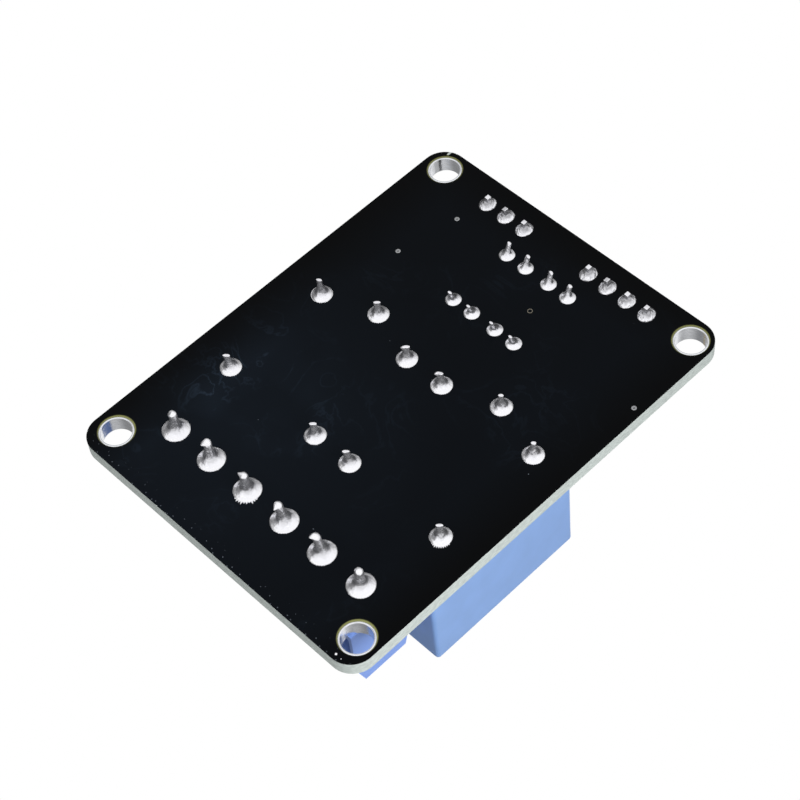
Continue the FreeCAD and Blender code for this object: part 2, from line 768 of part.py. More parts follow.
parts = {}
for name, x in relay_places:
    parts.update(relay(name, x))
for name, x in terminal_places:
    parts.update(terminal(name, x))
parts.update(header("header_3", header_3_x, 3))
parts.update(header("header_4", header_4_x, 4))
parts.update(jumper())
parts.update(optocoupler("optocoupler_1", coupler_1_x))
parts.update(optocoupler("optocoupler_2", coupler_2_x))
parts["chip_resistors"] = []
for number, side in ((1, 1), (2, -1)):
    column_x = small_column_xs[number - 1]
    parts["indicator_led_%d" % number] = indicator(board_centre_x + side * led_from_middle, led_y)
    parts["transistor_%d" % number] = transistor(column_x, relay_back_y + relay_to_transistor)
    parts["diode_%d" % number] = diode(board_centre_x + side * diode_from_middle,
                                       relay_back_y + relay_to_diode)
    for y in (coupler_y - resistor_spacing / 2, coupler_y + resistor_spacing / 2):
        parts["chip_resistors"].append(slab(column_x, y, resistor_length, resistor_width,
                                            top, top + resistor_height))
parts["mounting_hole_plating"] = [plated_hole(x, y, mount_bore_radius, mount_land_radius)
                                  for x, y in mount_places]
parts.update(joints)
parts["circuit_board"] = board()

os.makedirs("parts", exist_ok=True)
for name, shape in parts.items():
    solids = shape if isinstance(shape, list) else [shape]
    solids = [solid for piece in solids for solid in piece.Solids]
    whole = solids[0] if len(solids) == 1 else Part.makeCompound(solids)
    whole.exportStep("parts/" + name + ".step")
print(len(parts), "nodes")
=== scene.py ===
import math

import bmesh
import bpy
from bpy.props import FloatProperty, FloatVectorProperty, PointerProperty
from mathutils import Matrix, Vector, noise


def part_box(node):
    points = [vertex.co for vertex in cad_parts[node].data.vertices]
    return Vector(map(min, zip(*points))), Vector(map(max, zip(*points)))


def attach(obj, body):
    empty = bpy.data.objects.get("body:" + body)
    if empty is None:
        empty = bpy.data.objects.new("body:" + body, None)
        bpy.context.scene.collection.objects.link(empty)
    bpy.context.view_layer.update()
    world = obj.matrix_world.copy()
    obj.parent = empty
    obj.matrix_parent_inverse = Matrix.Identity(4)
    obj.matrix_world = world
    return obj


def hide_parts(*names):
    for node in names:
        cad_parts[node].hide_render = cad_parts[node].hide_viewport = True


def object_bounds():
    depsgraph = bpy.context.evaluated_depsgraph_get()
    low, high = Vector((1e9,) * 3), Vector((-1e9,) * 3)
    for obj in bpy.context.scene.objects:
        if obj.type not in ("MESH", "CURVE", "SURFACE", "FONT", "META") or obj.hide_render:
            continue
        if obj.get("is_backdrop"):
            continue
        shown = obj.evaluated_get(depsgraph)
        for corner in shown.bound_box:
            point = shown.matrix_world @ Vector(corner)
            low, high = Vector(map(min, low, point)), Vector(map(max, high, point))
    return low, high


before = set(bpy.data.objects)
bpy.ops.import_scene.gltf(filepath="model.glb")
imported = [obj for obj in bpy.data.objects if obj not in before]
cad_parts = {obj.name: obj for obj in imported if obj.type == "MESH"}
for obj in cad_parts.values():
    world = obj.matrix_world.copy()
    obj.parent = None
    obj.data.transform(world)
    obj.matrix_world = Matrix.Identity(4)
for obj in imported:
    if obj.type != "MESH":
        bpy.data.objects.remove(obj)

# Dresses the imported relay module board: finishes for every part, solder joints as they set round
# the clipped leads, vias, printed outlines, soldered pads, and the stage with its lights and
# camera.
# Lengths are metres, so sizes that are written in millimetres are multiplied by MM.

bl_info = {
    "name": "Relay module board",
    "version": (1, 0, 0),
    "blender": (4, 5, 0),
    "location": "3D View > Sidebar > Relay board",
    "description": "Finishes, solder and printed marks of a two-relay module board",
    "category": "Object",
}

MM = 0.001
BOARD = "board"
BOARD_LOW, BOARD_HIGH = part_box("circuit_board")
BOARD_TOP = BOARD_HIGH.z
BOARD_MIDDLE = (BOARD_LOW + BOARD_HIGH) / 2
BOARD_HALF = (BOARD_HIGH - BOARD_LOW) / 2
CORNER_RADIUS = 2.5 * MM
LAND_RADIUS = 1.75 * MM
HOLE_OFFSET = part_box("mounting_hole_plating")[1] - Vector((LAND_RADIUS, LAND_RADIUS, 0))

# Places on the solder side, (x, y) in millimetres as the part's frame has them
BARE_VIAS = ((12.517, 11.466), (11.05, 18.42), (-17.844, 12.765))
COVERED_VIA = (-2.592, 14.708)
RIM_CHIP = (17.93, 24.3)
THICKEST_RESIDUE = (11, -13)
# two splashes of solder, with their radius
SPLASHES = ((-16.335, -24.632, 0.13), (-17.021, -24.677, 0.05))

# Radius of the solder's rim round each kind of lead, and the one joint of each kind that frayed,
# by its place in the row from -X
TERMINAL_RIM, RELAY_RIM = 1.41, 1.11
FRAYED_TERMINAL, FRAYED_RELAY = 3, 0

# How each kind of joint sets: half length and half width across the lead, and depth below the board
TERMINAL_RINGS = ((1.41, 1.41, 0.0), (1.41, 1.41, 0.05), (1.36, 1.36, 0.10), (1.20, 1.20, 0.19),
                  (1.00, 1.00, 0.31), (0.82, 0.81, 0.45), (0.66, 0.64, 0.62), (0.56, 0.53, 0.86),
                  (0.50, 0.46, 1.20), (0.48, 0.43, 1.60), (0.47, 0.42, 1.95), (0.46, 0.42, 2.18),
                  (0.42, 0.38, 2.36), (0.33, 0.30, 2.49), (0.20, 0.17, 2.57), (0.08, 0.07, 2.60))
RELAY_RINGS = ((1.11, 1.11, 0.0), (1.11, 1.11, 0.04), (1.05, 1.05, 0.10), (0.90, 0.90, 0.18),
               (0.71, 0.70, 0.30), (0.55, 0.52, 0.52), (0.43, 0.38, 0.80), (0.36, 0.28, 1.15),
               (0.34, 0.22, 1.50), (0.37, 0.19, 1.72), (0.38, 0.18, 1.82), (0.36, 0.15, 1.89))
HEADER_RINGS = ((1.00, 0.86, 0.0), (1.00, 0.86, 0.05), (0.95, 0.81, 0.12), (0.84, 0.71, 0.21),
                (0.71, 0.62, 0.30), (0.58, 0.52, 0.38), (0.48, 0.45, 0.44), (0.41, 0.39, 0.50),
                (0.34, 0.32, 0.56), (0.22, 0.21, 0.58))
COUPLER_RINGS = ((0.84, 0.84, 0.0), (0.84, 0.84, 0.05), (0.79, 0.79, 0.11), (0.66, 0.66, 0.18),
                 (0.50, 0.48, 0.29), (0.37, 0.33, 0.46), (0.29, 0.23, 0.72), (0.27, 0.19, 1.00),
                 (0.26, 0.18, 1.25), (0.26, 0.17, 1.42), (0.23, 0.14, 1.52))

# The unevenness of the solder follows this seed; without one it would follow the clock
NOISE_SEED = 1


# Small helpers

def tint(code):
    """A six-digit sRGB colour as the linear colour that the shaders work in."""
    shares = [int(code[place:place + 2], 16) / 255 for place in (0, 2, 4)]
    return [share / 12.92 if share <= 0.04045 else ((share + 0.055) / 1.055) ** 2.4
            for share in shares]


def add_node(tree, kind, options=None, feeds=None):
    """Adds a shader node, sets its options, and fills or links its inputs. A node that is fed to
    an input gives its first output that is in use."""
    node = tree.nodes.new("ShaderNode" + kind)
    for option, value in (options or {}).items():
        setattr(node, option, value)
    for socket, value in (feeds or {}).items():
        if isinstance(value, bpy.types.Node):
            value = next(output for output in value.outputs if output.enabled)
        if isinstance(value, bpy.types.NodeSocket):
            tree.links.new(value, node.inputs[socket])
        else:
            node.inputs[socket].default_value = value
    return node


def number_math(tree, operation, *values):
    """One step of arithmetic on numbers."""
    return add_node(tree, "Math", {"operation": operation}, dict(enumerate(values)))


def vector_math(tree, operation, *values):
    """One step of arithmetic on vectors."""
    return add_node(tree, "VectorMath", {"operation": operation}, dict(enumerate(values)))


def remap(tree, value, from_low, from_high, to_low=0.0, to_high=1.0, course="LINEAR"):
    """Brings a value from one range to another, and holds it inside."""
    return add_node(tree, "MapRange", {"interpolation_type": course}, {
        "Value": value, "From Min": from_low, "From Max": from_high, "To Min": to_low,
        "To Max": to_high})


def cloudy(tree, place, size, detail, more=None):
    """Noise with clouds of a given size."""
    return add_node(tree, "TexNoise", feeds={"Vector": place, "Scale": 1 / size,
                                             "Detail": detail, **(more or {})})


def stretched(tree, place, sizes):
    """Coordinates for a pattern that has its own size along each axis."""
    return add_node(tree, "Mapping", feeds={"Vector": place, "Scale": [1 / size for size in sizes]})


def blend(tree, share, first, second):
    """One colour over another."""
    return add_node(tree, "Mix", {"data_type": "RGBA"}, {"Factor": share, "A": first, "B": second})


def scaled(tree, colour, factor):
    """A colour times a number."""
    return add_node(tree, "VectorMath", {"operation": "SCALE"}, {0: colour, "Scale": factor})


def bumpy(tree, strength, relief, height):
    """The slopes of an uneven surface."""
    return add_node(tree, "Bump", feeds={"Strength": strength, "Distance": relief,
                                         "Height": height})


def start_finish(name):
    """An empty material, its node tree and the object's own coordinates."""
    finish = bpy.data.materials.new(name)
    finish.use_nodes = True
    finish.node_tree.nodes.clear()
    place = add_node(finish.node_tree, "TexCoord").outputs["Object"]
    return finish, finish.node_tree, place


def end_finish(tree, shader):
    """Sends a shader to the material's surface."""
    add_node(tree, "OutputMaterial", feeds={"Surface": shader})


def settle(bm, name, finish, body=BOARD, smooth=True):
    """Turns a bmesh in the part's own frame into a finished piece that rides on a body."""
    bmesh.ops.recalc_face_normals(bm, faces=bm.faces)
    mesh = bpy.data.meshes.new(name)
    for face in bm.faces:
        face.smooth = smooth
    bm.to_mesh(mesh)
    bm.free()
    piece = bpy.data.objects.new(name, mesh)
    bpy.context.scene.collection.objects.link(piece)
    mesh.materials.append(finish)
    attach(piece, body)
    return piece


def thicken(bm, faces, rise):
    """Gives flat faces a thickness along Z."""
    grown = bmesh.ops.extrude_face_region(bm, geom=faces)["geom"]
    verts = [part for part in grown if isinstance(part, bmesh.types.BMVert)]
    bmesh.ops.translate(bm, vec=(0, 0, rise), verts=verts)


def edges_at(verts):
    """The edges that meet at some vertices, once each and in the same order each run."""
    return list(dict.fromkeys(edge for vert in verts for edge in vert.link_edges))


def add_block(bm, shape, round_off):
    """Adds a box of unit size in the given place and scale, with rounded edges."""
    made = bmesh.ops.create_cube(bm, size=1.0, matrix=shape)
    bmesh.ops.bevel(bm, geom=edges_at(made["verts"]), offset=round_off, affect="EDGES",
                    segments=2, profile=0.5, material=-1)


# Finishes

def moulded_plastic(name, colour, roughness, grain, relief, mottling=0.04, specular=0.3):
    """Injection-moulded thermoplastic: a fine spark-eroded grain and slow drifts of tone."""
    finish, tree, place = start_finish(name)
    fine = cloudy(tree, place, grain, 3.0)
    slow = cloudy(tree, place, grain * 20, 2.0)
    tone = remap(tree, slow, 0.3, 0.7, 1 - mottling, 1 + mottling)
    shade = scaled(tree, colour, tone)
    gloss = remap(tree, fine, 0.0, 1.0, roughness - 0.08, roughness + 0.08)
    bump = bumpy(tree, 0.6, relief, fine)
    end_finish(tree, add_node(tree, "BsdfPrincipled", feeds={
        "Base Color": shade, "Roughness": gloss, "Specular IOR Level": specular, "Normal": bump}))
    return finish


def plated_metal(name, colour, roughness, lay, relief, tarnish=0.12):
    """Plated metal: drawing or stamping lines along one axis, with a little uneven tarnish."""
    finish, tree, place = start_finish(name)
    along = stretched(tree, place, lay)
    lines = cloudy(tree, along, 1.0, 4.0)
    spots = cloudy(tree, place, 0.9 * MM, 3.0)
    tone = remap(tree, spots, 0.35, 0.7, 1.0, 1 - tarnish)
    shade = scaled(tree, colour, tone)
    gloss = remap(tree, lines, 0.0, 1.0, roughness - 0.1, roughness + 0.1)
    bump = bumpy(tree, 0.5, relief, lines)
    end_finish(tree, add_node(tree, "BsdfPrincipled", feeds={
        "Base Color": shade, "Metallic": 1.0, "Roughness": gloss, "Normal": bump}))
    return finish


def masked_laminate(name, mask, edge, opening):
    """Glass-epoxy laminate under a glossy black solder mask, with its sawn edge left bare."""
    finish, tree, place = start_finish(name)
    # distance inside the rounded outline of the board, in metres
    plan = vector_math(tree, "MULTIPLY", place, (1, 1, 0))
    shifted = vector_math(tree, "SUBTRACT", plan, (BOARD_MIDDLE.x, BOARD_MIDDLE.y, 0))
    folded = vector_math(tree, "ABSOLUTE", shifted)
    core = (BOARD_HALF.x - CORNER_RADIUS, BOARD_HALF.y - CORNER_RADIUS, 0)
    past = vector_math(tree, "SUBTRACT", folded, core)
    beyond = vector_math(tree, "MAXIMUM", past)
    corner = vector_math(tree, "LENGTH", beyond)
    parts = add_node(tree, "SeparateXYZ", feeds={"Vector": past})
    nearer = number_math(tree, "MAXIMUM", parts.outputs["X"], parts.outputs["Y"])
    within = number_math(tree, "MINIMUM", nearer, 0.0)
    reach = number_math(tree, "ADD", corner, within)
    # here and there the mask's rim has a nick of a tenth of a millimetre from the cutting
    chips = cloudy(tree, place, 0.3 * MM, 4.0, {"Roughness": 0.7})
    ragged = number_math(tree, "MULTIPLY_ADD", chips, 1.0 * MM, reach)
    covered = number_math(tree, "LESS_THAN", ragged, CORNER_RADIUS + 0.61 * MM)
    # one longer chip lies across the rim beside a mounting hole
    to_chip = vector_math(tree, "SUBTRACT", plan, (RIM_CHIP[0] * MM, RIM_CHIP[1] * MM, 0))
    in_chip = vector_math(tree, "MULTIPLY", to_chip, (1 / (0.13 * MM), 1 / (0.38 * MM), 0))
    chip = vector_math(tree, "LENGTH", in_chip)
    unchipped = number_math(tree, "GREATER_THAN", chip, 1.0)
    # the mask's openings lie a tenth of a millimetre off the lands, towards +X and +Y, so that a
    # sliver of bare laminate shows on that side, and the mask thins out towards it
    off_centre = vector_math(tree, "SUBTRACT", plan, (0.1 * MM, 0.1 * MM, 0))
    about_holes = vector_math(tree, "ABSOLUTE", off_centre)
    from_hole = vector_math(tree, "DISTANCE", about_holes, (HOLE_OFFSET.x, HOLE_OFFSET.y, 0))
    off_land = remap(tree, from_hole, LAND_RADIUS + 0.02 * MM, LAND_RADIUS + 0.18 * MM,
                     course="SMOOTHSTEP")
    by_hole = number_math(tree, "LESS_THAN", from_hole, LAND_RADIUS + 0.3 * MM)
    facing = add_node(tree, "SeparateXYZ",
                      feeds={"Vector": add_node(tree, "NewGeometry").outputs["True Normal"]})
    upright = number_math(tree, "ABSOLUTE", facing.outputs["Z"])
    flat = number_math(tree, "GREATER_THAN", upright, 0.7)
    on_face = number_math(tree, "MULTIPLY", covered, flat)
    kept = number_math(tree, "MULTIPLY", on_face, unchipped)
    masked = number_math(tree, "MULTIPLY", kept, off_land)
    # faint bluish curls of flux residue, a few millimetres across, in scattered patches
    swirl = cloudy(tree, place, 5.5 * MM, 5.0, {"Distortion": 1.6})
    off_line = number_math(tree, "SUBTRACT", swirl, 0.5)
    off_ridge = number_math(tree, "ABSOLUTE", off_line)
    ridge = remap(tree, off_ridge, 0.0, 0.025, 1.0, 0.0)
    patch = cloudy(tree, place, 11 * MM, 2.0)
    where = remap(tree, patch, 0.48, 0.62)
    # most of it lies beside the terminals on the +X side, and thins out from there
    thickest = (THICKEST_RESIDUE[0] * MM, THICKEST_RESIDUE[1] * MM, 0)
    from_thickest = vector_math(tree, "DISTANCE", plan, thickest)
    near = remap(tree, from_thickest, 3 * MM, 12 * MM, 1.0, 0.15)
    left = number_math(tree, "MULTIPLY", where, near)
    curls = number_math(tree, "MULTIPLY", ridge, left)
    veil = remap(tree, from_thickest, 2 * MM, 22 * MM, 0.14, 0.0)
    haze = number_math(tree, "MULTIPLY_ADD", left, 0.14, veil)
    film = number_math(tree, "MULTIPLY_ADD", curls, 0.7, haze)
    residue = blend(tree, film, (*mask, 1), (*tint("222C38"), 1))
    # painted shade: the last few millimetres before the rim are darkened to deeper black, except at
    # the terminals
    unfolded = add_node(tree, "SeparateXYZ", feeds={"Vector": shifted})
    far_end = number_math(tree, "SUBTRACT", unfolded.outputs["Y"], core[1])
    rimward = number_math(tree, "MAXIMUM", parts.outputs["X"], far_end)
    depth = remap(tree, rimward, CORNER_RADIUS - 6 * MM, CORNER_RADIUS - 0.8 * MM, 1.0, 0.2)
    rim_shaded = scaled(tree, residue, depth)
    # dust specks a tenth of a millimetre across, here and there
    grit = add_node(tree, "TexVoronoi", feeds={"Vector": place, "Scale": 1 / (2.6 * MM)})
    tiny = number_math(tree, "LESS_THAN", grit, 0.022)
    rare = add_node(tree, "SeparateXYZ", feeds={"Vector": grit.outputs["Color"]})
    chosen = number_math(tree, "GREATER_THAN", rare.outputs["X"], 0.72)
    speck = number_math(tree, "MULTIPLY", tiny, chosen)
    # crumbs of laminate dust as small lie along the rim at the terminals, in a plane pattern
    dust = add_node(tree, "TexVoronoi", {"voronoi_dimensions": "2D"},
                    {"Vector": place, "Scale": 1 / (0.9 * MM)})
    rim_near = remap(tree, unfolded.outputs["Y"], 1.6 * MM - BOARD_HALF.y, 0.5 * MM - BOARD_HALF.y,
                     0.0, 0.055)
    crumb = number_math(tree, "LESS_THAN", dust, rim_near)
    grain = number_math(tree, "MAXIMUM", speck, crumb)
    # the dust lies over the mask with its painted rim shade
    dusty = blend(tree, grain, rim_shaded, (*tint("5A6068"), 1))
    ripple = cloudy(tree, place, 1.4 * MM, 2.0)
    skin = bumpy(tree, 0.35, 4e-6, ripple)
    coating = add_node(tree, "BsdfPrincipled", feeds={
        "Base Color": dusty, "Roughness": 0.3, "Specular IOR Level": 0.05, "Normal": skin})
    # the edge shows pressed layers of glass cloth, about eight through the thickness
    layers = stretched(tree, place, (0.5 * MM, 0.5 * MM, 0.14 * MM))
    fibre = cloudy(tree, layers, 1.0, 4.0, {"Roughness": 0.6})
    bare = remap(tree, fibre, 0.3, 0.7, 0.75, 1.15)
    sawn = scaled(tree, edge, bare)
    on_ring = number_math(tree, "MULTIPLY", flat, by_hole)
    bare_colour = blend(tree, on_ring, sawn, (*opening, 1))
    saw_marks = bumpy(tree, 0.6, 0.02 * MM, fibre)
    glass = add_node(tree, "BsdfPrincipled", feeds={
        "Base Color": bare_colour, "Roughness": 0.6, "Normal": saw_marks})
    end_finish(tree, add_node(tree, "MixShader", feeds={0: masked, 1: glass, 2: coating}))
    return finish


def wave_solder(name, colour, relief=0.07 * MM, stain=0.74, stained=0.8):
    """Tin solder that froze in air: bright where it wetted thinly, frosted and stained at the
    neck. The stain is the share of light left there, and its place runs from tip to rim."""
    finish, tree, place = start_finish(name)
    height = add_node(tree, "SeparateXYZ", feeds={"Vector": place})
    lumps = cloudy(tree, place, 0.45 * MM, 3.0)
    wander = number_math(tree, "MULTIPLY_ADD", lumps, 0.5 * MM, height.outputs["Z"])
    down = remap(tree, wander, -2.7 * MM, 0.2 * MM)
    neck = add_node(tree, "ValToRGB", feeds={"Fac": down})
    stops = neck.color_ramp.elements
    stops[0].position, stops[0].color = 0.0, (1.0, 1.0, 1.0, 1)
    stops[1].position, stops[1].color = 1.0, (1.0, 1.0, 1.0, 1)
    for position, level in ((0.5, 1.0), (0.68, 0.88), (stained, stain), (stained + 0.1, 0.97)):
        stops.new(position).color = (level, level, level * 1.02, 1)
    shade = add_node(tree, "Mix", {"data_type": "RGBA", "blend_type": "MULTIPLY"}, {
        "Factor": 1.0, "A": (*colour, 1), "B": neck})
    drawn = stretched(tree, place, (0.11 * MM, 0.11 * MM, 0.9 * MM))
    crystals = cloudy(tree, drawn, 1.0, 3.0)
    gloss = remap(tree, wander, -1.5 * MM, 0.1 * MM, 0.3, 0.18)
    waves = bumpy(tree, 0.8, relief, lumps)
    bump = add_node(tree, "Bump", feeds={
        "Strength": 0.6, "Distance": 0.02 * MM, "Height": crystals, "Normal": waves})
    end_finish(tree, add_node(tree, "BsdfPrincipled", feeds={
        "Base Color": shade, "Metallic": 0.88, "Roughness": gloss, "Normal": bump}))
    return finish


def wound_wire(name, colour):
    """Enamelled copper wire in close turns, with a painted highlight along each turn and painted
    shade in the grooves between turns.
    """
    finish, tree, place = start_finish(name)
    turn = 0.12 * MM
    turns = add_node(tree, "TexWave", {"bands_direction": "Z"},
                     {"Vector": place, "Scale": math.pi / (10 * turn), "Distortion": 0.4,
                      "Detail Scale": 0.2})
    groove = bumpy(tree, 0.9, turn / 3, turns.outputs["Fac"])
    # painted highlight and shade: the wire's colour runs from half as bright in the grooves to a
    # tenth brighter on each turn's crest
    tone = remap(tree, turns.outputs["Fac"], 0.0, 1.0, 0.5, 1.1)
    shade = scaled(tree, colour, tone)
    end_finish(tree, add_node(tree, "BsdfPrincipled", feeds={
        "Base Color": shade, "Metallic": 0.8, "Roughness": 0.3, "Coat Weight": 0.6,
        "Coat Roughness": 0.15, "Normal": groove}))
    return finish


def body_and_ends(name, body, ends, middle, half, gap=0.0):
    """A small surface-mounted part: its body inside a box about its middle, and tinned metal
    outside it. A second part may stand a gap away along X, with the same box."""
    finish, tree, place = start_finish(name)
    local = vector_math(tree, "SUBTRACT", place, middle)
    folded = vector_math(tree, "ABSOLUTE", local)
    offset = vector_math(tree, "SUBTRACT", folded, (gap / 2, 0, 0))
    size = vector_math(tree, "ABSOLUTE", offset)
    past = vector_math(tree, "SUBTRACT", size, half)
    sides = add_node(tree, "SeparateXYZ", feeds={"Vector": past})
    most = number_math(tree, "MAXIMUM", sides.outputs["X"], sides.outputs["Y"])
    outside = number_math(tree, "GREATER_THAN", most, 0.0)
    grain = cloudy(tree, place, 0.1 * MM, 3.0)
    rough = remap(tree, grain, 0.0, 1.0, 0.35, 0.55)
    bump = bumpy(tree, 0.4, 0.008 * MM, grain)
    moulded = add_node(tree, "BsdfPrincipled", feeds={
        "Base Color": (*body, 1), "Roughness": rough, "Normal": bump})
    tinned = add_node(tree, "BsdfPrincipled", feeds={
        "Base Color": (*ends, 1), "Metallic": 1.0, "Roughness": 0.28, "Normal": bump})
    end_finish(tree, add_node(tree, "MixShader", feeds={0: outside, 1: moulded, 2: tinned}))
    return finish


def middle_of(node):
    """The middle of a CAD node's box."""
    low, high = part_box(node)
    return (low + high) / 2


def places_in(node):
    """The (x, y) middles of a CAD node's separate pieces, in millimetres, from -X to +X and then
    from -Y to +Y."""
    bm = bmesh.new()
    bm.from_mesh(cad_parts[node].data)
    bmesh.ops.remove_doubles(bm, verts=bm.verts, dist=0.001 * MM)
    left = set(bm.verts)
    middles = []
    while left:
        piece = {left.pop()}
        edge_of_piece = set(piece)
        while edge_of_piece:
            edge_of_piece = {edge.other_vert(vert) for vert in edge_of_piece
                             for edge in vert.link_edges} - piece
            piece |= edge_of_piece
        left -= piece
        spots = [vert.co / MM for vert in piece]
        middles.append(tuple(round((max(spot[axis] for spot in spots)
                                    + min(spot[axis] for spot in spots)) / 2, 3)
                             for axis in (0, 1)))
    bm.free()
    return sorted(middles)


# Sizes and colours

class BoardColours(bpy.types.PropertyGroup):
    """Colours of the board and what it carries."""
    mask: FloatVectorProperty(name="Solder mask", description="Colour of the solder mask",
                              subtype="COLOR", size=3, min=0, max=1, default=tint("04070C"))
    edge: FloatVectorProperty(name="Board edge", description="Colour of the sawn laminate",
                              subtype="COLOR", size=3, min=0, max=1, default=tint("CBD4D0"))
    opening: FloatVectorProperty(name="Mask opening", description="Bare laminate round the holes",
                                 subtype="COLOR", size=3, min=0, max=1, default=tint("7C7D4C"))
    relay: FloatVectorProperty(name="Relay cover", description="Colour of the relay covers",
                               subtype="COLOR", size=3, min=0, max=1, default=tint("8AAFE9"))
    housing: FloatVectorProperty(name="Terminal housing",
                                 description="Colour of the screw terminals' housings",
                                 subtype="COLOR", size=3, min=0, max=1, default=tint("83A4EC"))
    solder: FloatVectorProperty(name="Solder", description="Colour of the solder",
                                subtype="COLOR", size=3, min=0, max=1, default=tint("F8F8FB"))
    print_ink: FloatVectorProperty(name="Printed lines", description="Colour of the printed lines",
                                   subtype="COLOR", size=3, min=0, max=1, default=tint("E9EAE6"))


class BoardSizes(bpy.types.PropertyGroup):
    """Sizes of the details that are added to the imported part."""
    line_width: FloatProperty(name="Printed line", description="Width of the printed outlines",
                              unit="LENGTH", default=0.15 * MM, min=0.05 * MM, max=0.5 * MM)
    line_clearance: FloatProperty(name="Line clearance",
                                  description="Gap between a part and its printed outline",
                                  unit="LENGTH", default=0.22 * MM, min=0, max=1 * MM)
    via_radius: FloatProperty(name="Via", description="Radius of a via's ring", unit="LENGTH",
                              default=0.28 * MM, min=0.1 * MM, max=1 * MM)
    lump: FloatProperty(name="Solder unevenness", description="How far a joint strays from round",
                        unit="LENGTH", default=0.045 * MM, min=0, max=0.2 * MM)


class StageSetup(bpy.types.PropertyGroup):
    """Camera and light."""
    camera_place: FloatVectorProperty(name="Camera", description="Where the camera stands",
                                      subtype="TRANSLATION", unit="LENGTH", size=3,
                                      default=(-96.546 * MM, -77.988 * MM, -165.674 * MM))
    camera_aim: FloatVectorProperty(name="Aim", description="The direction the camera looks in",
                                    subtype="DIRECTION", size=3,
                                    default=(0.4645, 0.3716, 0.8039))
    camera_up: FloatVectorProperty(name="Up", description="What is up in the picture",
                                   subtype="DIRECTION", size=3,
                                   default=(0.5422, 0.5984, -0.5899))
    lens: FloatProperty(name="Lens", description="Focal length in millimetres", default=97.47,
                        min=10, max=300)
    ambient: FloatProperty(name="Ambient", description="Light from all round", default=0.23, min=0,
                           max=2)
    key: FloatProperty(name="Key lamp", description="Power of the lamp beside the solder side",
                       subtype="POWER", default=0.084, min=0, max=50)
    front: FloatProperty(name="Front lamp",
                         description="Power of the lamp below the screw terminals' edge",
                         subtype="POWER", default=0.18, min=0, max=50)
    overhead: FloatProperty(name="Overhead lamp",
                            description="Power of the lamp above the component side",
                            subtype="POWER", default=1.25, min=0, max=50)


# Operators, one for each piece or group

